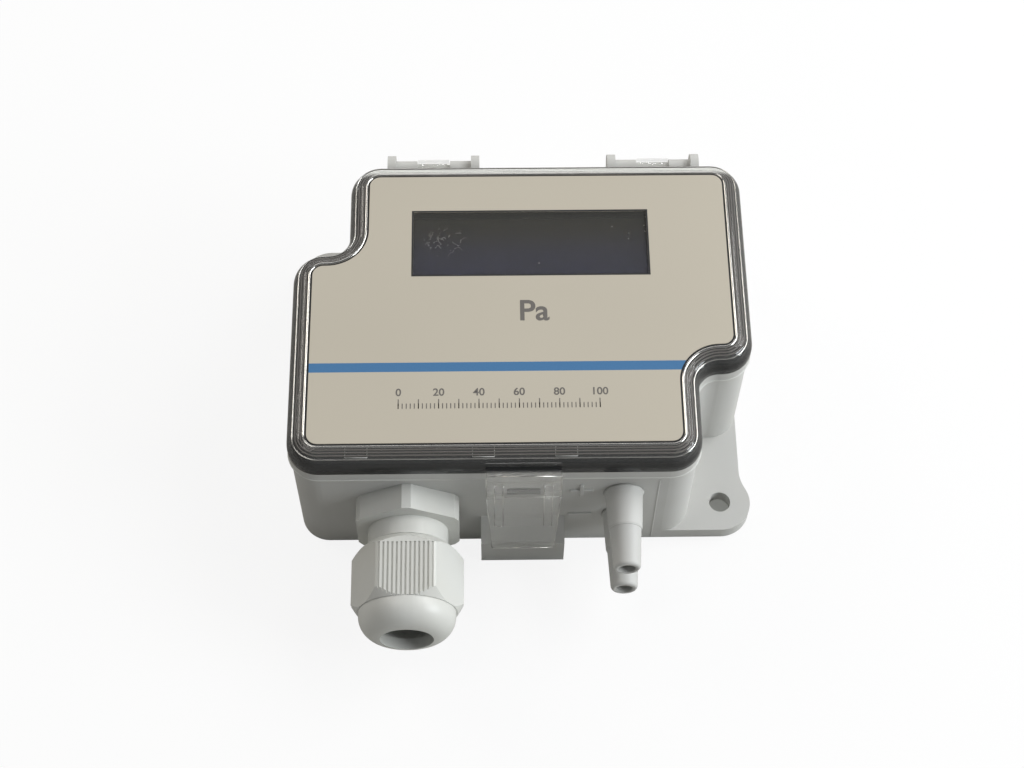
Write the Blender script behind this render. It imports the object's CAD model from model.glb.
"""Differential pressure transmitter: finishes, small fittings, studio and camera.

The CAD frame gives every place in metres: +Z leaves the face label, +Y points to the
hinges, and the cable gland, the latch and the pressure ports leave along -Y. Sizes and
places are in millimetres here, and in metres where a docstring or a comment says so.
"""
import logging
import math
from collections.abc import Callable
from dataclasses import dataclass
from enum import Enum

import bmesh
import bpy
from mathutils import Matrix, Vector


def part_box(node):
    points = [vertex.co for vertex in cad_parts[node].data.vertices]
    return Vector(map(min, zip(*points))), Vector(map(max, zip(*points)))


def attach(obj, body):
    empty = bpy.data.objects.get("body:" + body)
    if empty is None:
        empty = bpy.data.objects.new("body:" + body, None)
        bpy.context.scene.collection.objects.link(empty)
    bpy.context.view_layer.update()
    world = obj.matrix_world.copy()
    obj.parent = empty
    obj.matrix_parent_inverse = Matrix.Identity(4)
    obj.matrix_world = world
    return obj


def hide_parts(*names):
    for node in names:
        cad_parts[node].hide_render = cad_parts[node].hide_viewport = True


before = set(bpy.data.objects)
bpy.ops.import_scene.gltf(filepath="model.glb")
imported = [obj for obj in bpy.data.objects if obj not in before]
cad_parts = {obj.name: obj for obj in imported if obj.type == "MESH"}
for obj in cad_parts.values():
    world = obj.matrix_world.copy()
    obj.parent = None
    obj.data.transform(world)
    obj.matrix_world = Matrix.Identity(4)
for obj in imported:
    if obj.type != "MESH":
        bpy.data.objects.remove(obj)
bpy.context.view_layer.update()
LOG = logging.getLogger("transmitter")
MM = 0.001
SEAL_INSET = 1.2
Colour = tuple[float, float, float]
Spot = tuple[float, float, float]
Span = tuple[float, float]
Material = bpy.types.Material
Piece = bpy.types.Object
Socket = bpy.types.NodeSocket


class Body(Enum):
    """The rigid bodies that new pieces ride on."""

    CASE = "root"
    LID = "lid"


class Slot(Enum):
    """The record's material slots that new pieces take their finish from."""

    CASE = "case_plastic"
    LABEL = "label_film"
    GLAND = "gland_plastic"
    STEEL = "steel"
    BLACK = "black_plastic"
    RUBBER = "dark_rubber"
    CLEAR = "clear_plastic"


# --- shader maths ---------------------------------------------------------------------
class Wiring:
    """A node tree and the one way of adding nodes to it."""

    def __init__(self, tree: bpy.types.NodeTree) -> None:
        """Take over a tree."""
        self.tree = tree

    def node(self, kind: str, settings: dict | None = None, sockets: dict | None = None) -> bpy.types.Node:
        """Add one node.

        Args:
            kind: The node's type.
            settings: Its properties, such as a Math node's operation, which are set first.
            sockets: Numbers, colours, Grades or sockets for its inputs, by name or index.

        Returns:
            The node.
        """
        made = self.tree.nodes.new(kind)
        for name, value in (settings or {}).items():
            setattr(made, name, value)
        for name, value in (sockets or {}).items():
            self.feed(made.inputs[name], value)
        return made

    def feed(self, target: Socket, value: object) -> None:
        """Link a socket or a Grade to an input, or set its constant.

        Args:
            target: The input.
            value: What goes in.
        """
        if isinstance(value, Grade):
            value = value.socket
        if isinstance(value, Socket):
            self.tree.links.new(value, target)
        elif target.type == "RGBA":
            target.default_value = (*value, 1.0)
        else:
            target.default_value = value


def math_operator(operation: str, swapped: bool = False) -> Callable[["Grade", object], "Grade"]:
    """An operator of Grade, which adds one Math node.

    Args:
        operation: The Math node's operation.
        swapped: Whether the other value comes first.

    Returns:
        The operator, for a Grade and another Grade or a number.
    """
    def combine(grade: "Grade", other: object) -> "Grade":
        """The two values through a new node."""
        node = grade.wiring.node("ShaderNodeMath", {"operation": operation},
                                 {int(swapped): grade, int(not swapped): other})
        return Grade(grade.wiring, node.outputs[0])

    return combine


@dataclass(frozen=True)
class Grade:
    """A number that varies over a surface: a socket with Python's arithmetic."""

    wiring: Wiring
    socket: Socket
    __add__ = __radd__ = math_operator("ADD")
    __sub__ = math_operator("SUBTRACT")
    __rsub__ = math_operator("SUBTRACT", swapped=True)
    __mul__ = __rmul__ = math_operator("MULTIPLY")
    __truediv__ = math_operator("DIVIDE")
    __gt__ = math_operator("GREATER_THAN")
    __lt__ = math_operator("LESS_THAN")
    wrapped = math_operator("FLOORED_MODULO")

    def between(self, low: float, high: float) -> "Grade":
        """1 between two values, else 0."""
        return (self > low) * (self < high)

    def stepped(self, low: float, high: float) -> "Grade":
        """A smooth rise from 0 at low to 1 at high.

        Args:
            low: Where the rise starts.
            high: Where it ends.

        Returns:
            The eased value.
        """
        node = self.wiring.node(
            "ShaderNodeMapRange", {"interpolation_type": "SMOOTHSTEP"},
            {"Value": self, "From Min": low, "From Max": high})
        return Grade(self.wiring, node.outputs["Result"])


@dataclass
class Paint(Wiring):
    """A material with its surface shader at hand; each finish adds its own recipe."""

    name: str

    def __post_init__(self) -> None:
        """Start the material and lay the recipe."""
        self.material = bpy.data.materials.new(self.name)
        self.material.use_nodes = True
        super().__init__(self.material.node_tree)
        self.tree.nodes.clear()
        self.output = self.node("ShaderNodeOutputMaterial").inputs["Surface"]
        self.shader = self.node("ShaderNodeBsdfPrincipled")
        self.feed(self.output, self.shader.outputs["BSDF"])
        self.lay()

    def lay(self) -> None:
        """Nothing, on a material without a recipe."""

    def surface(self, **values: object) -> None:
        """Feed the surface shader's inputs, with underscores for spaces."""
        for name, value in values.items():
            self.feed(self.shader.inputs[name.replace("_", " ")], value)

    def place(self) -> Socket:
        """The point on the object, in metres."""
        return self.node("ShaderNodeTexCoord").outputs["Object"]

    def axis(self, index: int) -> Grade:
        """One coordinate of the point, in millimetres."""
        split = self.node("ShaderNodeSeparateXYZ", {}, {0: self.place()})
        return Grade(self, split.outputs[index]) * (1 / MM)

    def noise(self, size: float, detail: float = 3.0, stretch: Spot = (1.0, 1.0, 1.0)) -> Grade:
        """Soft random variation from 0 to 1.

        Args:
            size: The width of one patch.
            detail: How many finer layers it has.
            stretch: Frequency along each axis.

        Returns:
            The variation.
        """
        spread = self.node("ShaderNodeMapping", {}, {"Vector": self.place(), "Scale": stretch})
        made = self.node("ShaderNodeTexNoise", {}, {
            "Vector": spread.outputs[0], "Scale": 1 / (size * MM), "Detail": detail})
        return Grade(self, made.outputs[0])

    def specks(self, apart: float, radius: float, bare: float = 0.72) -> Grade:
        """Small round marks: 1 on a mark, 0 elsewhere.

        Args:
            apart: Average distance between places for a mark.
            radius: A mark's radius as a share of that distance.
            bare: The share of places without a mark.

        Returns:
            The marks.
        """
        cells = self.node("ShaderNodeTexVoronoi", {}, {"Vector": self.place(), "Scale": 1 / (apart * MM)})
        near = Grade(self, cells.outputs["Distance"])
        lot = self.node("ShaderNodeSeparateColor", {}, {0: cells.outputs["Color"]})
        return (1 - near.stepped(radius / 2, radius)) * (Grade(self, lot.outputs[0]) > bare)

    def blend(self, share: Grade, first: object, second: object) -> Socket:
        """A colour between two.

        Args:
            share: 0 gives the first colour, 1 the second.
            first: A colour or a socket.
            second: A colour or a socket.

        Returns:
            The mixed colour.
        """
        made = self.node("ShaderNodeMix", {"data_type": "RGBA"}, {0: share, 6: first, 7: second})
        return made.outputs[2]

    def relief(self, height: Grade, depth: float) -> None:
        """Bump the surface.

        Args:
            height: The relief, 0 to 1.
            depth: Its depth.
        """
        made = self.node("ShaderNodeBump", {}, {"Height": height, "Distance": depth * MM, "Strength": 1.0})
        self.surface(Normal=made.outputs[0])


# --- finishes -------------------------------------------------------------------------
def scaled(colour: Colour, share: float) -> Colour:
    """A darker or brighter tone of a colour."""
    return tuple(part * share for part in colour)


@dataclass
class MouldedPlastic(Paint):
    """Injection-moulded plastic with a fine spark-eroded texture and faint soiling."""

    colour: Colour
    soiled: Colour
    roughness: float = 0.48
    grain: float = 0.22
    depth: float = 0.006
    specked: bool = False
    speck: Colour = (0.05, 0.045, 0.04)

    def lay(self) -> None:
        """Lay the soiling, the specks and the grain."""
        cloud = self.noise(14.0, 2.0)
        grain = self.noise(self.grain, 2.0)
        tone = self.blend((cloud - 0.35) * 0.9, self.colour, self.soiled)
        if self.specked:
            tone = self.blend(self.specks(17.0, 0.028), tone, self.speck)
        self.surface(Base_Color=tone, Roughness=(cloud - 0.5) * 0.12 + grain * 0.06 + self.roughness)
        self.relief(grain, self.depth)


@dataclass
class ClearPlastic(Paint):
    """Polished clear plastic with hairline scratches, in its own tone by place.

    The foot of the rim is darker, the pane over the display is smoked, and the latch and
    the hinge side let some light straight through.
    """

    tint: Colour = (0.95, 0.945, 0.915)
    rim: Colour = (0.20, 0.20, 0.205)
    pane_near: Colour = (0.565, 0.565, 0.625)
    pane_far: Colour = (0.57, 0.56, 0.515)
    rim_rise: Span = (33.0, 34.8)
    rim_y: Span = (-34.3, 34.4)
    pane_x: Span = (-22.0, 26.0)
    pane_y: Span = (5.5, 22.5)
    pane_turn: Span = (11.5, 19.5)
    hinge_turn: Span = (29.9, 31.2)
    latch_thin: float = 0.4
    hinge_thin: float = 0.8
    clearness: float = 0.93
    index: float = 1.45

    def lay(self) -> None:
        """Lay the tones, the thin places and the scratches."""
        hair = self.noise(0.9, 4.0, (6.0, 0.3, 1.0))
        along = self.axis(1)
        foot = along.between(*self.rim_y) * (1 - self.axis(2).stepped(*self.rim_rise))
        pane = self.axis(0).between(*self.pane_x) * along.between(*self.pane_y)
        glass = self.blend(along.stepped(*self.pane_turn), self.pane_near, self.pane_far)
        latch = (along < self.rim_y[0]) * self.latch_thin
        hinge = along.stepped(*self.hinge_turn) * self.hinge_thin
        self.surface(Base_Color=self.blend(pane, self.blend(foot, self.tint, self.rim), glass),
                     Alpha=(1 - latch) * (1 - hinge), IOR=self.index,
                     Transmission_Weight=self.clearness, Roughness=hair.stepped(0.60, 0.75) * 0.10 + 0.015)
        self.relief(self.noise(5.0, 2.0), 0.006)


@dataclass
class FlowLine(Paint):
    """Faint moulding lines of the clear rim, paler at the hinge side."""

    near: Colour = (0.14, 0.13, 0.12)
    far: Colour = (0.85, 0.85, 0.81)
    turn: Span = (30.0, 31.2)

    def lay(self) -> None:
        """Lay the two tones."""
        tone = self.blend(self.axis(1).stepped(*self.turn), self.near, self.far)
        self.surface(Base_Color=tone, Roughness=self.noise(2.0, 2.0) * 0.3 + 0.3)


@dataclass
class PrintedFilm(Paint):
    """Warm grey polyester film with a printed stripe and a few scuffs."""

    colour: Colour
    stripe: Colour
    stripe_y: Span
    scuff: Colour = (0.25, 0.23, 0.20)

    def lay(self) -> None:
        """Lay the ground, the stripe, the scuffs and the weave."""
        band = self.axis(1).between(*self.stripe_y)
        weave = self.noise(0.35, 2.0)
        ground = self.blend(self.noise(30.0, 1.0), self.colour, scaled(self.colour, 0.95))
        ink = self.blend(weave * 0.5, self.stripe, scaled(self.stripe, 1.25))
        printed = self.blend(band, ground, ink)
        self.surface(Base_Color=self.blend(self.specks(9.0, 0.012) * 0.6, printed, self.scuff),
                     Roughness=weave * 0.10 + 0.42)
        self.relief(weave, 0.003)


@dataclass
class Rubber(Paint):
    """Soft matt elastomer with a dusty bloom."""

    colour: Colour = (0.018, 0.018, 0.02)
    bloom: Colour = (0.05, 0.05, 0.05)

    def lay(self) -> None:
        """Lay the bloom."""
        dust = self.noise(3.0, 4.0)
        self.surface(Base_Color=self.blend(dust * 0.5, self.colour, self.bloom), Roughness=dust * 0.2 + 0.55)
        self.relief(self.noise(0.3), 0.01)


@dataclass
class PlatedMetal(Paint):
    """Plated sheet or turned metal with fine drawing lines."""

    colour: Colour
    roughness: float = 0.32

    def lay(self) -> None:
        """Lay the tarnish and the drawing lines."""
        lines = self.noise(0.5, 3.0, (1.0, 12.0, 1.0))
        tone = self.blend(self.noise(2.5, 3.0), self.colour, scaled(self.colour, 0.72))
        self.surface(Base_Color=tone, Metallic=1.0, Roughness=lines * 0.16 + self.roughness)
        self.relief(lines, 0.002)


@dataclass
class SolderMask(Paint):
    """Green laminate with copper tracks as paler lines under the mask."""

    mask: Colour = (0.012, 0.12, 0.045)
    track: Colour = (0.03, 0.22, 0.08)
    pitch: float = 2.54

    def lay(self) -> None:
        """Lay tracks that run one way in some zones and across in the others."""
        bend = self.noise(9.0, 0.0)
        across = (self.axis(0) + bend * 9.0).wrapped(self.pitch / 2)
        along = (self.axis(1) + bend * 7.0).wrapped(self.pitch)
        zone = self.noise(16.0, 0.0) > 0.5
        lines = (across < 0.45) * zone + (along < 0.5) * (1 - zone)
        self.surface(Base_Color=self.blend(lines, self.mask, self.track),
                     Roughness=lines * 0.08 + 0.24, Coat_Weight=0.4)
        self.relief(lines, 0.03)


@dataclass
class DisplayPanel(Paint):
    """Unlit dark display glass: a soft change of tone, a dried mark and pale dust."""

    turn: Span = (7.0, 21.0)
    mark: Span = (-15.0, 17.6)
    mark_size: Span = (5.2, 4.2)
    corner_x: Span = (18.0, 20.5)
    corner_y: Span = (11.0, 14.0)
    near: Colour = (0.030, 0.031, 0.085)
    far: Colour = (0.046, 0.036, 0.014)
    dust: Colour = (0.80, 0.77, 0.70)

    def lay(self) -> None:
        """Lay the tone, the cracked edges of the dried mark, and the grit."""
        panel = self.blend(self.axis(1).stepped(*self.turn), self.near, self.far)
        haze = self.noise(12.0, 3.0)
        off_x = (self.axis(0) - self.mark[0]) / self.mark_size[0]
        off_y = (self.axis(1) - self.mark[1]) / self.mark_size[1]
        spot = 1 - (off_x * off_x + off_y * off_y + (haze - 0.5) * 1.5).stepped(0.1, 0.9)
        vein = self.noise(1.9, 1.5) - 0.5
        crust = (vein * vein < 0.00035) * spot * (self.noise(1.3, 2.0) > 0.46)
        grit = self.specks(1.9, 0.11) * (self.noise(8.0, 1.0) > 0.50)
        corner = self.axis(0).stepped(*self.corner_x) * self.axis(1).stepped(*self.corner_y)
        grit = grit + self.specks(1.1, 0.26) * corner * (self.noise(3.0, 1.0) > 0.42)
        marks = crust * 0.95 + grit * 0.9
        self.surface(Base_Color=self.blend(marks, panel, self.dust),
                     Roughness=haze * 0.1 + 0.12 + marks * 0.4)
        self.relief(marks, 0.02)


@dataclass
class Silicone(Paint):
    """Milky hose with a soft translucent wall."""

    colour: Colour = (0.78, 0.79, 0.76)
    bloom: Colour = (0.70, 0.71, 0.69)

    def lay(self) -> None:
        """Lay the bloom."""
        haze = self.noise(2.0)
        self.surface(Base_Color=self.blend(haze, self.colour, self.bloom), Roughness=haze * 0.15 + 0.3,
                     Transmission_Weight=0.25, IOR=1.41)
        self.relief(haze, 0.01)


class Finishes:
    """Every finish of the product, built once."""

    def __init__(self) -> None:
        """Build the finishes."""
        self.case = MouldedPlastic("case_abs", (0.56, 0.56, 0.54), (0.51, 0.50, 0.465),
                                   specked=True).material
        self.gland = MouldedPlastic("gland_nylon", (0.66, 0.665, 0.635), (0.61, 0.60, 0.535), 0.34,
                                    depth=0.003).material
        self.clear = ClearPlastic("lid_polycarbonate").material
        self.flow = FlowLine("rim_flow").material
        self.edge = PlatedMetal("polished_edge", (0.83, 0.815, 0.78), 0.08).material
        self.film = PrintedFilm("label_film", (0.530, 0.487, 0.402), (0.052, 0.165, 0.34),
                                (-14.7, -12.7)).material
        self.ink = MouldedPlastic("grey_ink", (0.14, 0.13, 0.12), (0.17, 0.16, 0.145), 0.5,
                                  depth=0.001).material
        self.rubber = Rubber("dark_rubber").material
        self.steel = PlatedMetal("zinc_plate", (0.62, 0.62, 0.60)).material
        self.bezel = PlatedMetal("dark_bezel", (0.10, 0.10, 0.105), 0.4).material
        self.can = PlatedMetal("aluminium_can", (0.78, 0.78, 0.79), 0.25).material
        self.tin = PlatedMetal("solder", (0.66, 0.66, 0.68), 0.2).material
        self.mask = SolderMask("solder_mask").material
        self.panel = DisplayPanel("display_panel").material
        self.terminal = MouldedPlastic("terminal_green", (0.03, 0.26, 0.10), (0.025, 0.21, 0.08),
                                       0.4).material
        self.black = MouldedPlastic("black_resin", (0.022, 0.022, 0.023), (0.03, 0.03, 0.03), 0.45).material
        self.pale = MouldedPlastic("sensor_resin", (0.72, 0.71, 0.64), (0.66, 0.65, 0.59)).material
        self.silicone = Silicone("milky_silicone").material


def dress(node: str, finish: Material) -> None:
    """Give a CAD node its finish.

    Args:
        node: The CAD node's name.
        finish: The material for all of its slots.
    """
    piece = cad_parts[node]
    if not piece.data.materials:
        piece.data.materials.append(finish)
    for slot in piece.material_slots:
        slot.material = finish
    LOG.info("%s: dressed in %s", node, finish.name)


def settle(piece: Piece, body: Body) -> None:
    """Hand a finished piece to its body.

    Args:
        piece: The piece, in place.
        body: What it moves with.
    """
    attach(piece, body.value)
    LOG.info("%s: %d faces", piece.name, len(piece.data.polygons))


# --- mesh work ------------------------------------------------------------------------
def at(x: float, y: float, z: float) -> Matrix:
    """A place given in millimetres."""
    return Matrix.Translation(Vector((x, y, z)) * MM)


def link(name: str, data: bpy.types.ID) -> Piece:
    """Put a mesh, a curve, a lamp or a camera into the scene.

    Args:
        name: The object's name.
        data: What it shows.

    Returns:
        The object, at the origin.
    """
    made = bpy.data.objects.new(name, data)
    bpy.context.scene.collection.objects.link(made)
    return made


def evaluated(piece: Piece) -> bpy.types.Mesh:
    """A plain mesh of a piece with its modifiers or its letters worked out."""
    view = bpy.context.evaluated_depsgraph_get()
    return bpy.data.meshes.new_from_object(piece.evaluated_get(view))


@dataclass(frozen=True)
class Outline:
    """The notched outline that the case, the lid, the seal and the label share."""

    half_width: float
    half_length: float
    notch_width: float = 10.8
    notch_length: float = 20.7
    corner: float = 6.1
    hollow: float = 4.1
    arc_steps: int = 12

    @classmethod
    def of_lid(cls) -> "Outline":
        """The lid's own outline, from the seal that runs inside it."""
        low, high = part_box("lid_seal")
        return cls((high.x - low.x) / 2 / MM + SEAL_INSET, (high.y - low.y) / 2 / MM + SEAL_INSET)

    def points(self, inset: float) -> list[Span]:
        """The outline drawn inside itself.

        Args:
            inset: How far inside.

        Returns:
            As many points for every inset, in order around the outline.
        """
        right = self.half_width - inset
        far = self.half_length - inset
        step_x = right - self.notch_width
        step_y = far - self.notch_length
        outer = self.corner - inset
        inner = self.hollow + inset
        corners = [(-right, -far, outer), (step_x, -far, outer), (step_x, -step_y, inner),
                   (right, -step_y, outer)]
        corners += [(-x, -y, radius) for x, y, radius in corners]
        found = []
        for i, (x, y, radius) in enumerate(corners):
            here = Vector((x, y))
            back = (Vector(corners[i - 1][:2]) - here).normalized()
            ahead = (Vector(corners[(i + 1) % len(corners)][:2]) - here).normalized()
            centre = here + (back + ahead) * radius
            for step in range(self.arc_steps + 1):
                turn = math.pi / 2 * step / self.arc_steps
                spot = centre - (ahead * math.cos(turn) + back * math.sin(turn)) * radius
                found.append((spot.x, spot.y))
        return found


class Shape:
    """A piece under construction, built in place."""

    def __init__(self) -> None:
        """Start with nothing."""
        self.mesh = bmesh.new()

    def finish(self, name: str, material: Material, smooth: bool = False) -> Piece:
        """Turn the shape into an object with outward faces.

        Args:
            name: The object's name.
            material: Its finish.
            smooth: Whether its faces are shaded smooth.

        Returns:
            The linked object.
        """
        bmesh.ops.recalc_face_normals(self.mesh, faces=self.mesh.faces)
        for face in self.mesh.faces:
            face.smooth = smooth
        data = bpy.data.meshes.new(name)
        self.mesh.to_mesh(data)
        self.mesh.free()
        data.materials.append(material)
        return link(name, data)

    def block(self, low: Spot, high: Spot, bevel: float) -> None:
        """Add a block with rounded edges.

        Args:
            low: Its lowest corner.
            high: Its highest corner.
            bevel: The rounding.
        """
        low = Vector(low) * MM
        high = Vector(high) * MM
        verts = bmesh.ops.create_cube(self.mesh, size=1.0)["verts"]
        bmesh.ops.scale(self.mesh, vec=high - low, verts=verts)
        bmesh.ops.translate(self.mesh, vec=(high + low) / 2, verts=verts)
        edges = list({edge for vert in verts for edge in vert.link_edges})
        bmesh.ops.bevel(self.mesh, geom=edges, offset=bevel * MM, segments=2, affect="EDGES", profile=0.5)

    def turned(self, profile: list[Span], segments: int, place: Matrix) -> None:
        """Add a solid turned about the Z axis of a place.

        Args:
            profile: Its (radius, height) corners, from pole to pole or back to the first corner.
            segments: Facets around.
            place: The turned solid's place.
        """
        turns = [2 * math.pi * step / segments for step in range(segments)]
        rings = []
        for radius, height in profile:
            if rings and (radius, height) == profile[0]:
                rings.append(rings[0])
                continue
            spots = [(radius * math.cos(turn), radius * math.sin(turn), height) for turn in turns]
            rings.append([self.mesh.verts.new(place @ (Vector(spot) * MM))
                          for spot in (spots if radius else spots[:1])])
        for first, second in zip(rings, rings[1:]):
            for i in range(segments):
                j = (i + 1) % segments
                corners = [first[i % len(first)], first[j % len(first)],
                           second[j % len(second)], second[i % len(second)]]
                self.mesh.faces.new(list(dict.fromkeys(corners)))

    def hoop(self, outline: Outline, section: list[Span]) -> None:
        """Sweep a closed cross-section around an outline.

        Args:
            outline: The path.
            section: The cross-section's (inset, height) corners.
        """
        rings = [[self.mesh.verts.new(Vector((x, y, height)) * MM) for x, y in outline.points(inset)]
                 for inset, height in section]
        for first, second in zip(rings, rings[1:] + rings[:1]):
            for i in range(len(first)):
                j = (i + 1) % len(first)
                self.mesh.faces.new((first[i], first[j], second[j], second[i]))

    def bead(self, outline: Outline, inset: float, height: float, radius: float, sides: int = 10) -> None:
        """Lay a round line around an outline.

        Args:
            outline: The path.
            inset: How far inside the path its middle runs.
            height: Its middle's height.
            radius: Its radius.
            sides: Facets around the line.
        """
        turns = [2 * math.pi * step / sides for step in range(sides)]
        self.hoop(outline, [(inset + radius * math.cos(turn), height + radius * math.sin(turn))
                            for turn in turns])

    def wire(self, spots: list[Spot], radius: float, sides: int = 8) -> None:
        """Add a thin round line through some points.

        Args:
            spots: The points.
            radius: The line's radius.
            sides: Facets around the line.
        """
        for start, end in zip(spots, spots[1:]):
            along = Vector(end) - Vector(start)
            place = at(*start) @ along.to_track_quat("Z", "Y").to_matrix().to_4x4()
            self.turned([(0, 0), (radius, 0), (radius, along.length), (0, along.length)], sides, place)


class Grower(Wiring):
    """Geometry Nodes that repeat one piece along a line, with a little scatter."""

    def __init__(self) -> None:
        """Build the node tree once."""
        super().__init__(bpy.data.node_groups.new("repeat_in_line", "GeometryNodeTree"))
        face = self.tree.interface
        self.keys = {}
        for name, kind in (("Piece", "Geometry"), ("Count", "Int"), ("Step", "Vector"), ("Row Count", "Int"),
                           ("Row Step", "Vector"), ("Scatter", "Float"), ("Seed", "Int"),
                           ("Finish", "Material")):
            made = face.new_socket(name, in_out="INPUT", socket_type=f"NodeSocket{kind}")
            self.keys[name] = made.identifier
        face.new_socket("Result", in_out="OUTPUT", socket_type="NodeSocketGeometry")
        given = self.node("NodeGroupInput").outputs
        line = self.node("GeometryNodeMeshLine", {"mode": "OFFSET"}, {
            "Count": given["Count"], "Offset": given["Step"]})
        rows = self.node("GeometryNodeMeshLine", {"mode": "OFFSET"}, {
            "Count": given["Row Count"], "Offset": given["Row Step"]})
        spread = self.node("GeometryNodeInstanceOnPoints", {}, {
            "Points": rows.outputs[0], "Instance": line.outputs[0]})
        spots = self.node("GeometryNodeRealizeInstances", {}, {0: spread.outputs[0]})
        lot = self.node("FunctionNodeRandomValue", {"data_type": "FLOAT_VECTOR"}, {
            0: (-1.0, -1.0, 0.0), 1: (1.0, 1.0, 0.0), "Seed": given["Seed"]})
        shift = self.node("ShaderNodeVectorMath", {"operation": "SCALE"}, {
            0: lot.outputs[0], "Scale": given["Scatter"]})
        moved = self.node("GeometryNodeSetPosition", {}, {
            "Geometry": spots.outputs[0], "Offset": shift.outputs[0]})
        placed = self.node("GeometryNodeInstanceOnPoints", {}, {
            "Points": moved.outputs[0], "Instance": given["Piece"]})
        solid = self.node("GeometryNodeRealizeInstances", {}, {0: placed.outputs[0]})
        coated = self.node("GeometryNodeSetMaterial", {}, {
            "Geometry": solid.outputs[0], "Material": given["Finish"]})
        self.node("NodeGroupOutput", {}, {0: coated.outputs[0]})

    def repeat(self, unit: Piece, count: int, step: Spot, rows: int = 1, row_step: Spot = (0.0, 0.0, 0.0),
               scatter: float = 0.0) -> Piece:
        """Repeat a unit piece and return the result as a plain mesh.

        Args:
            unit: The piece, at its first place; it is removed.
            count: Copies in a row.
            step: From one copy to the next.
            rows: Number of rows.
            row_step: From one row to the next.
            scatter: Random shift of each copy.

        Returns:
            The repeated piece, with the unit's name and finish.
        """
        name = unit.name
        made = unit.modifiers.new("repeat", "NODES")
        made.node_group = self.tree
        values = {"Count": count, "Step": Vector(step) * MM, "Row Count": rows,
                  "Row Step": Vector(row_step) * MM, "Scatter": scatter * MM, "Seed": 7,
                  "Finish": unit.data.materials[0]}
        for key, value in values.items():
            made[self.keys[key]] = value
        data = evaluated(unit)
        data.name = name
        unit.modifiers.remove(made)
        bpy.data.objects.remove(unit)
        return link(name, data)


# --- sub-assemblies -------------------------------------------------------------------
@dataclass
class Work:
    """What each sub-assembly is built with."""

    finishes: Finishes
    grower: Grower


@dataclass
class CaseWork(Work):
    """The grey case with its raised signs, moulding marks and drafted ports."""

    sign_x: float = 11.15
    sign_high: float = 22.5
    sign_low: float = 12.0
    sign_width: float = 4.5
    sign_line: float = 0.75
    sign_rise: float = 0.35
    sign_bevel: float = 0.12
    upright_rise: float = 0.04
    sunk: float = 0.3
    witness_x: float = 25.9
    witness_half: float = 0.12
    witness_rise: float = 0.10
    witness_z: Span = (0.6, 26.4)
    witness_bevel: float = 0.05
    rim_depth: float = 2.5
    rim_inset: float = 0.05
    rim_radius: float = 0.2
    rim_sides: int = 8
    wall_beyond_seal: float = 0.8
    facets: int = 40
    port_x: float = 19.3
    port_heights: Span = (21.5, 11.7)
    port_step: float = 8.0
    port_length: float = 16.0
    port_bore: float = 2.2
    mouth_radius: float = 1.75
    mouth_depth: float = 1.0
    root_curve: tuple[Span, ...] = ((3.9, 0.2), (3.66, 0.5), (3.58, 1.2))
    step_curve: tuple[Span, ...] = ((3.27, -0.45), (3.18, -0.12), (3.02, 0.05))
    tip_curve: tuple[Span, ...] = ((2.64, -0.6), (2.52, -0.25), (2.25, 0.04))

    def build(self) -> None:
        """Dress the case and add what is moulded on it."""
        dress("base_housing", self.finishes.case)
        self.signs()
        self.rim()
        self.witness()
        self.sleeves()

    def front(self) -> float:
        """The front wall's outer face, just inside the rim and outside the seal."""
        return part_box("lid_seal")[0].y / MM - self.wall_beyond_seal

    def signs(self) -> None:
        """The raised plus and minus beside the ports, the plus's upright a little prouder."""
        wall = self.front()
        half = self.sign_width / 2
        line = self.sign_line / 2
        shape = Shape()
        for wide, high, middle, proud in ((half, line, self.sign_high, 0.0),
                                          (line, half, self.sign_high, self.upright_rise),
                                          (half, line, self.sign_low, 0.0)):
            shape.block((self.sign_x - wide, wall - self.sign_rise - proud, middle - high),
                        (self.sign_x + wide, wall + self.sunk, middle + high), self.sign_bevel)
        settle(shape.finish("port_signs", self.finishes.case), Body.CASE)

    def rim(self) -> None:
        """The bright moulded edge along the foot of the case's proud rim."""
        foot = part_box("lid_seal")[0].z / MM - self.rim_depth
        shape = Shape()
        shape.bead(Outline.of_lid(), self.rim_inset, foot, self.rim_radius, self.rim_sides)
        settle(shape.finish("rim_edge", self.finishes.gland, smooth=True), Body.CASE)

    def witness(self) -> None:
        """The faint line that a split in the mould leaves on the front wall."""
        wall = self.front()
        low, high = self.witness_z
        shape = Shape()
        shape.block((self.witness_x - self.witness_half, wall - self.witness_rise, low),
                    (self.witness_x + self.witness_half, wall + self.sunk, high), self.witness_bevel)
        settle(shape.finish("mould_witness", self.finishes.case), Body.CASE)

    def sleeves(self) -> None:
        """The ports' slight draft, with a rounded collar at the step and a narrower mouth.

        The curves are (radius, place) pairs, from the wall, from the step and from the end.
        """
        wall = self.front()
        tip = [(radius, self.port_length + place) for radius, place in self.tip_curve]
        floor = self.port_length - self.mouth_depth
        foot = (self.port_bore, self.root_curve[0][1])
        profile = [foot, *self.root_curve,
                   *((radius, self.port_step + place) for radius, place in self.step_curve),
                   *tip, (self.mouth_radius, tip[-1][1]), (self.mouth_radius, floor),
                   (self.port_bore, floor), foot]
        outwards = Matrix.Rotation(math.pi / 2, 4, "X")
        shape = Shape()
        for height in self.port_heights:
            shape.turned(profile, self.facets, at(self.port_x, wall, height) @ outwards)
        settle(shape.finish("port_sleeves", self.finishes.case, smooth=True), Body.CASE)


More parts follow.
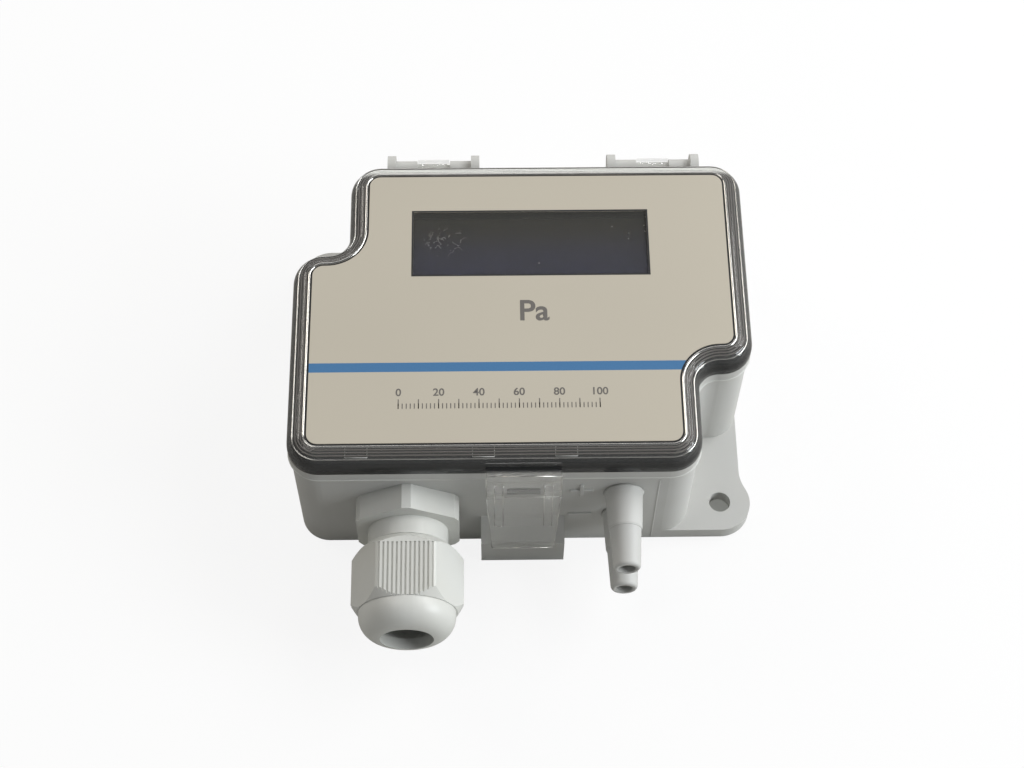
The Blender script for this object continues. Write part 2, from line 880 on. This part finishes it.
@dataclass
class LidWork(Work):
    """The clear lid with its seal, its face label and the generic print on it."""

    rim_round: float = 3.8
    seal_lip: float = 0.45
    seal_height: float = 2.2
    seal_bevel: float = 0.15
    border_inset: float = 3.4
    border_sunk: float = 0.05
    border_radius: float = 0.28
    step_inset: float = 1.25
    step_drop: float = 0.95
    step_radius: float = 0.14
    flow_insets: tuple[float, ...] = (1.85, 2.35, 2.85)
    flow_radius: float = 0.17
    sunk_share: float = 0.6
    tab_lefts: tuple[float, ...] = (-33.3, -9.6, 5.9)
    tab_width: float = 4.1
    tab_insets: Span = (3.6, 1.5)
    tab_radius: float = 0.06
    latch_line: float = 0.08
    latch_gap: float = 1.7
    latch_half: float = 7.1
    latch_top: float = 33.0
    latch_knee: float = 24.0
    latch_foot: float = 9.0
    foot_half: float = 6.05
    foot_lean: float = 3.9
    rib_x: Span = (3.9, 5.5)
    rib_top: float = 29.0
    rib_foot: float = 15.5
    rib_lean: float = 2.21
    edge_insets: Span = (3.72, 3.99)
    edge_rise: float = 0.03
    window_size: Span = (46.0, 14.5)
    window_line: float = 0.35
    print_rise: float = 0.02
    print_sunk: float = 0.01
    print_bevel: float = 0.002
    scale_left: float = -23.5
    scale_right: float = 14.5
    scale_y: float = -22.6
    ticks: int = 51
    tick_half: float = 0.09
    tick_fine: float = 1.1
    tick_tens: float = 2.0
    number_rise: float = 3.4
    number_size: float = 2.2
    unit_place: Span = (2.4, -1.6)
    unit_size: float = 6.4
    letter_weight: float = 0.016

    def build(self) -> None:
        """Dress the lid, add its edges and print the label."""
        dress("lid_cover", self.finishes.clear)
        dress("face_label", self.finishes.film)
        self.seal()
        self.ridges()
        self.flow_lines()
        self.tabs()
        self.latch_edges()
        self.label_edge()
        self.border()
        self.scale()

    def top(self) -> float:
        """The lid's flat top."""
        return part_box("lid_cover")[1].z / MM

    def face(self) -> float:
        """The label's top face."""
        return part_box("face_label")[1].z / MM

    def crown(self, inset: float) -> float:
        """The lid's height on its rounded rim, so far inside the outline."""
        beyond = max(self.rim_round - inset, 0.0)
        return self.top() - self.rim_round + math.sqrt(self.rim_round * self.rim_round - beyond * beyond)

    def seal(self) -> None:
        """The seal's thin lip, which stands in the lid's channel."""
        outer = SEAL_INSET
        inner = outer + self.seal_lip
        bevel = self.seal_bevel
        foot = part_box("lid_seal")[0].z / MM
        crest = foot + self.seal_height
        shape = Shape()
        shape.hoop(Outline.of_lid(), [
            (outer, foot), (outer, crest - bevel), (outer + bevel, crest), (inner - bevel, crest),
            (inner, crest - bevel), (inner, foot)])
        made = shape.finish("seal_lip", self.finishes.rubber)
        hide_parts("lid_seal")
        settle(made, Body.LID)

    def ridges(self) -> None:
        """The lid's raised border around the label and the step of its rim, bright as clear edges are."""
        top = self.top()
        shape = Shape()
        shape.bead(Outline.of_lid(), self.border_inset, top - self.border_sunk, self.border_radius)
        shape.bead(Outline.of_lid(), self.step_inset, top - self.step_drop, self.step_radius)
        settle(shape.finish("lid_ridges", self.finishes.edge, smooth=True), Body.LID)

    def flow_lines(self) -> None:
        """Faint lines that run around the rounded rim."""
        shape = Shape()
        for inset in self.flow_insets:
            height = self.crown(inset) - self.flow_radius * self.sunk_share
            shape.bead(Outline.of_lid(), inset, height, self.flow_radius)
        settle(shape.finish("lid_flow_lines", self.finishes.flow, smooth=True), Body.LID)

    def tabs(self) -> None:
        """The outlines of three small tabs under the front of the rim."""
        half_length = Outline.of_lid().half_length
        inner, outer = self.tab_insets
        shape = Shape()
        for left in self.tab_lefts:
            right = left + self.tab_width
            shape.wire([(x, inset - half_length, self.crown(inset)) for x, inset in
                        ((left, inner), (left, outer), (right, outer), (right, inner))], self.tab_radius)
        settle(shape.finish("lid_tabs", self.finishes.case, smooth=True), Body.LID)

    def latch_edges(self) -> None:
        """Bright lines along the edges of the clear latch and its two ribs."""
        front = -Outline.of_lid().half_length - self.latch_gap
        toe = front - self.foot_lean
        heel = front - self.rib_lean
        rungs = ((self.latch_half, front, self.latch_top), (self.latch_half, front, self.latch_knee),
                 (self.foot_half, toe, self.latch_foot))
        paths = [[(-half, y, height), (half, y, height)] for half, y, height in rungs]
        for side in (-1, 1):
            paths.append([(half * side, y, height) for half, y, height in rungs])
            paths += [[(x * side, front, self.rib_top), (x * side, heel, self.rib_foot)] for x in self.rib_x]
            paths.append([(x * side, heel, self.rib_foot) for x in self.rib_x])
        shape = Shape()
        for path in paths:
            shape.wire(path, self.latch_line)
        settle(shape.finish("latch_edges", self.finishes.edge, smooth=True), Body.LID)

    def label_edge(self) -> None:
        """The dark gap around the label."""
        low = self.top()
        high = low + self.edge_rise
        outer, inner = self.edge_insets
        shape = Shape()
        shape.hoop(Outline.of_lid(), [(outer, low), (outer, high), (inner, high), (inner, low)])
        settle(shape.finish("label_edge", self.finishes.black), Body.LID)

    def lay_ink(self, shape: Shape, x: Span, y: Span) -> None:
        """Lay a flat bar of ink on the label.

        Args:
            shape: Where it goes.
            x: Its two ends along X.
            y: Its two ends along Y.
        """
        shape.block((x[0], y[0], self.face() - self.print_sunk), (x[1], y[1], self.face() + self.print_rise),
                    self.print_bevel)

    def border(self) -> None:
        """The dark line around the window, which lies over the middle of the display's frame."""
        low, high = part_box("display_frame")
        middle = (low + high) / 2 / MM
        line = self.window_line
        width, length = self.window_size
        left = middle.x - width / 2
        right = middle.x + width / 2
        near = middle.y - length / 2
        far = middle.y + length / 2
        shape = Shape()
        for x, y in (((left - line, right + line), (far, far + line)),
                     ((left - line, right + line), (near - line, near)),
                     ((left - line, left), (near, far)), ((right, right + line), (near, far))):
            self.lay_ink(shape, x, y)
        settle(shape.finish("window_border", self.finishes.black), Body.LID)

    def scale(self) -> None:
        """A plain tick scale from 0 to 100, with its numbers and its unit."""
        span = self.scale_right - self.scale_left
        step = span / (self.ticks - 1)
        for name, every, height in (("scale_fine", 1, self.tick_fine), ("scale_tens", 5, self.tick_tens)):
            shape = Shape()
            self.lay_ink(shape, (self.scale_left - self.tick_half, self.scale_left + self.tick_half),
                         (self.scale_y, self.scale_y + height))
            unit = shape.finish(name, self.finishes.ink)
            ticks = self.grower.repeat(unit, (self.ticks - 1) // every + 1, (step * every, 0, 0))
            settle(ticks, Body.LID)
        for number in range(0, 101, 20):
            place = (self.scale_left + span * number / 100, self.scale_y + self.number_rise)
            self.words(f"scale_{number}", str(number), place, self.number_size)
        self.words("measured_unit", "Pa", self.unit_place, self.unit_size)

    def words(self, name: str, text: str, place: Span, size: float) -> None:
        """Print a generic number or unit.

        Args:
            name: The object's name.
            text: What it says.
            place: The text's middle.
            size: Letter size.
        """
        curve = bpy.data.curves.new(name, "FONT")
        curve.body = text
        curve.align_x = "CENTER"
        curve.align_y = "CENTER"
        curve.size = size * MM
        curve.offset = size * self.letter_weight * MM
        curve.extrude = self.print_rise / 2 * MM
        holder = link(name, curve)
        data = evaluated(holder)
        bpy.data.objects.remove(holder)
        data.transform(at(*place, self.face() + self.print_rise / 2))
        data.materials.clear()
        data.materials.append(self.finishes.ink)
        settle(link(name, data), Body.LID)


@dataclass
class GlandWork(Work):
    """The cable gland with its cut threads."""

    facets: int = 48
    pitch: float = 1.5
    root_share: float = 0.3
    crest_share: float = 0.3
    root_depth: float = 0.05
    crest_rise: float = 0.06
    ring_depth: float = 0.2
    clamp_radius: float = 7.2
    clamp_start: float = 3.5
    clamp_turns: int = 5
    fixing_radius: float = 7.85
    fixing_start: float = 6.3
    fixing_turns: int = 4

    def build(self) -> None:
        """Dress the gland and thread it."""
        for node in ("gland_body", "gland_dome_nut", "gland_lock_nut"):
            dress(node, self.finishes.gland)
        dress("gland_seal", self.finishes.rubber)
        low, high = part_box("gland_body")
        self.threads("clamp_thread", low.y / MM + self.clamp_start, self.clamp_turns, self.clamp_radius)
        self.threads("fixing_thread", high.y / MM - self.fixing_start, self.fixing_turns, self.fixing_radius)

    def threads(self, name: str, start: float, turns: int, radius: float) -> None:
        """Rings of thread along the gland's axis.

        Args:
            name: The object's name.
            start: The first turn's place along Y.
            turns: Number of turns.
            radius: The thread's middle radius.
        """
        low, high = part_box("gland_seal")
        middle = (low + high) / 2 / MM
        root = radius - self.root_depth
        crest = radius + self.crest_rise
        inner = root - self.ring_depth
        half = self.pitch * self.root_share
        top = half * self.crest_share
        shape = Shape()
        shape.turned([(inner, -half), (root, -half), (crest, -top), (crest, top), (root, half),
                      (inner, half), (inner, -half)], self.facets,
                     at(middle.x, start, middle.z) @ Matrix.Rotation(-math.pi / 2, 4, "X"))
        unit = shape.finish(name, self.finishes.gland)
        settle(self.grower.repeat(unit, turns, (0, self.pitch, 0)), Body.CASE)


@dataclass
class BoardWork(Work):
    """The circuit board, its display and every component on it."""

    facets: int = 20
    joint_gap: float = 1.3
    joint_profile: tuple[Span, ...] = ((0, 0), (0.95, 0), (0.55, 0.35), (0.4, 0.9), (0, 1.0))
    poles: int = 4
    chip_length: float = 1.6
    chip_width: float = 0.8
    chip_height: float = 0.55
    chip_bevel: float = 0.06
    body_share: float = 0.6
    chip_step: float = 2.4
    row_step: float = 3.0
    scatter: float = 0.12

    def build(self) -> None:
        """Dress the board's pieces and add its small components."""
        paint = self.finishes
        poles = [f"terminal_{part}_{pole}" for pole in range(1, self.poles + 1)
                 for part in ("cage", "screw")]
        for finish, nodes in (
                (paint.mask, ("circuit_board", "display_board")), (paint.bezel, ("display_frame",)),
                (paint.panel, ("display_glass",)), (paint.can, ("smoothing_capacitor",)),
                (paint.terminal, ("terminal_block",)), (paint.pale, ("pressure_sensor",)),
                (paint.silicone, ("hose_plus", "hose_minus")), (paint.steel, ("board_screws", *poles)),
                (paint.black, ("display_spacers", "display_header", "jumper_header", "jumper_cap",
                               "microcontroller", "voltage_regulator", "button_switches", "button_down",
                               "button_select", "button_up"))):
            for node in nodes:
                dress(node, finish)
        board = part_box("circuit_board")[1].z / MM
        self.joints(board)
        self.chips("small_resistors", board, (-4.0, -15.6), 5, 2)
        self.chips("small_capacitors", board, (31.0, -6.0), 3, 4)

    def joints(self, board: float) -> None:
        """Solder joints beside the terminal block.

        Args:
            board: The board's top face.
        """
        low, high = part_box("terminal_block")
        pitch = (high.x - low.x) / self.poles / MM
        place = at(low.x / MM + pitch / 2, high.y / MM + self.joint_gap, board)
        shape = Shape()
        shape.turned(self.joint_profile, self.facets, place)
        unit = shape.finish("terminal_joints", self.finishes.tin, smooth=True)
        settle(self.grower.repeat(unit, self.poles, (pitch, 0, 0)), Body.CASE)

    def chips(self, name: str, board: float, start: Span, count: int, rows: int) -> None:
        """Rows of chip components with tinned ends.

        Args:
            name: The first part of the objects' names.
            board: The board's top face.
            start: The first component's place.
            count: Components in a row.
            rows: Number of rows.
        """
        x, y = start
        half = self.chip_length / 2
        body = half * self.body_share
        wide = self.chip_width / 2
        for part, ends, finish, slot in (
                ("bodies", ((-body, body),), self.finishes.black, Slot.BLACK),
                ("ends", ((-half, -body), (body, half)), self.finishes.tin, Slot.STEEL)):
            shape = Shape()
            for near, far in ends:
                shape.block((x - wide, y + near, board), (x + wide, y + far, board + self.chip_height),
                            self.chip_bevel)
            made = self.grower.repeat(shape.finish(f"{name}_{part}", finish), count, (self.chip_step, 0, 0),
                                      rows, (0, self.row_step, 0), self.scatter)
            settle(made, Body.CASE)


# --- studio ---------------------------------------------------------------------------
@dataclass(frozen=True)
class Lamp:
    """A soft rectangular lamp: its place and sides in metres, its power in watts."""

    name: str
    place: Spot
    width: float
    height: float
    power: float
    colour: Colour = (1.0, 1.0, 1.0)


@dataclass
class Studio:
    """Pale floor, soft lamps and the camera."""

    lens: float = 69.2
    eye: Spot = (-6.764, -194.503, 363.432)
    turn: Spot = (28.399, -0.400, -0.787)
    near_clip: float = 0.01  # metres
    floor_half: float = 1.5  # metres
    floor_drop: float = 0.02
    floor_tone: Colour = (0.57, 0.56, 0.53)
    floor_pale: Colour = (0.9, 0.9, 0.9)
    floor_glow: float = 0.86
    white: Colour = (1.0, 1.0, 1.0)
    hole: Span = (39.9, -27.3)
    hole_reach: float = 3.2
    hole_shade: Colour = (0.20, 0.205, 0.19)
    sky: Colour = (0.95, 0.97, 1.0)
    sky_strength: float = 0.16
    lamps: tuple[Lamp, ...] = (
        Lamp("key_lamp", (0.75, 0.30, 0.75), 0.6, 0.6, 5.9),
        Lamp("side_lamp", (0.92, -0.22, 0.46), 0.5, 0.5, 7.2, (0.93, 0.97, 1.0)),
        Lamp("left_lamp", (-0.68, 0.52, 0.68), 0.35, 0.35, 2.0, (1.0, 0.95, 0.86)),
        Lamp("back_lamp", (0.0, 1.0, 0.35), 1.2, 0.4, 3.0),
        Lamp("top_lamp", (-0.45, 0.05, 1.1), 0.5, 0.5, 1.9, (1.0, 0.97, 0.92)),
    )

    def camera(self) -> None:
        """Place the camera over the latch side, looking down at the face."""
        data = bpy.data.cameras.new("camera")
        data.lens = self.lens
        data.sensor_width = 36.0
        data.clip_start = self.near_clip
        made = link("camera", data)
        made.location = Vector(self.eye) * MM
        made.rotation_euler = [math.radians(angle) for angle in self.turn]
        bpy.context.scene.camera = made

    def floor(self) -> None:
        """A floor that looks white straight on or through clear plastic, and lights and shades as grey.

        A round patch of it, under the fixing hole, is shaded.
        """
        paint = Paint("studio_floor")
        rays = paint.node("ShaderNodeLightPath").outputs
        seen = paint.node("ShaderNodeMath", {"operation": "MAXIMUM"}, {
            0: rays["Is Camera Ray"], 1: rays["Is Transmission Ray"]})
        paint.surface(Base_Color=self.floor_tone, Roughness=0.9, Specular_IOR_Level=0.0)
        pale = paint.node("ShaderNodeBsdfDiffuse", {}, {"Color": self.floor_pale})
        off_x = paint.axis(0) - self.hole[0]
        off_y = paint.axis(1) - self.hole[1]
        shade = (off_x * off_x + off_y * off_y) < self.hole_reach * self.hole_reach
        glow = paint.node("ShaderNodeEmission", {}, {
            "Color": paint.blend(shade, self.white, self.hole_shade), "Strength": 1.0})
        white = paint.node("ShaderNodeMixShader", {}, {
            0: self.floor_glow, 1: pale.outputs[0], 2: glow.outputs[0]})
        mix = paint.node("ShaderNodeMixShader", {}, {
            0: seen.outputs[0], 1: paint.shader.outputs[0], 2: white.outputs[0]})
        paint.feed(paint.output, mix.outputs[0])
        shape = Shape()
        bmesh.ops.create_grid(shape.mesh, x_segments=1, y_segments=1, size=self.floor_half)
        made = shape.finish("floor", paint.material)
        made.location.z = -self.floor_drop * MM

    def hang(self, lamp: Lamp) -> None:
        """Add a soft lamp aimed at the case.

        Args:
            lamp: The lamp.
        """
        data = bpy.data.lights.new(lamp.name, "AREA")
        data.shape = "RECTANGLE"
        data.size = lamp.width
        data.size_y = lamp.height
        data.energy = lamp.power
        data.color = lamp.colour
        made = link(lamp.name, data)
        made.location = lamp.place
        made.rotation_euler = Vector(lamp.place).to_track_quat("Z", "Y").to_euler()

    def build(self) -> None:
        """Set the camera, the floor, the lamps and the soft world."""
        self.camera()
        self.floor()
        for lamp in self.lamps:
            self.hang(lamp)
        world = bpy.data.worlds.new("studio_world")
        world.use_nodes = True
        ground = world.node_tree.nodes["Background"]
        ground.inputs["Color"].default_value = (*self.sky, 1.0)
        ground.inputs["Strength"].default_value = self.sky_strength
        scene = bpy.context.scene
        scene.world = world
        scene.view_settings.view_transform = "Standard"


def main() -> None:
    """Dress the transmitter and light it."""
    logging.basicConfig(level=logging.INFO, format="%(name)s %(message)s")
    finishes = Finishes()
    grower = Grower()
    Studio().build()
    for work in (CaseWork, LidWork, GlandWork, BoardWork):
        work(finishes, grower).build()


if __name__ == "__main__":
    main()
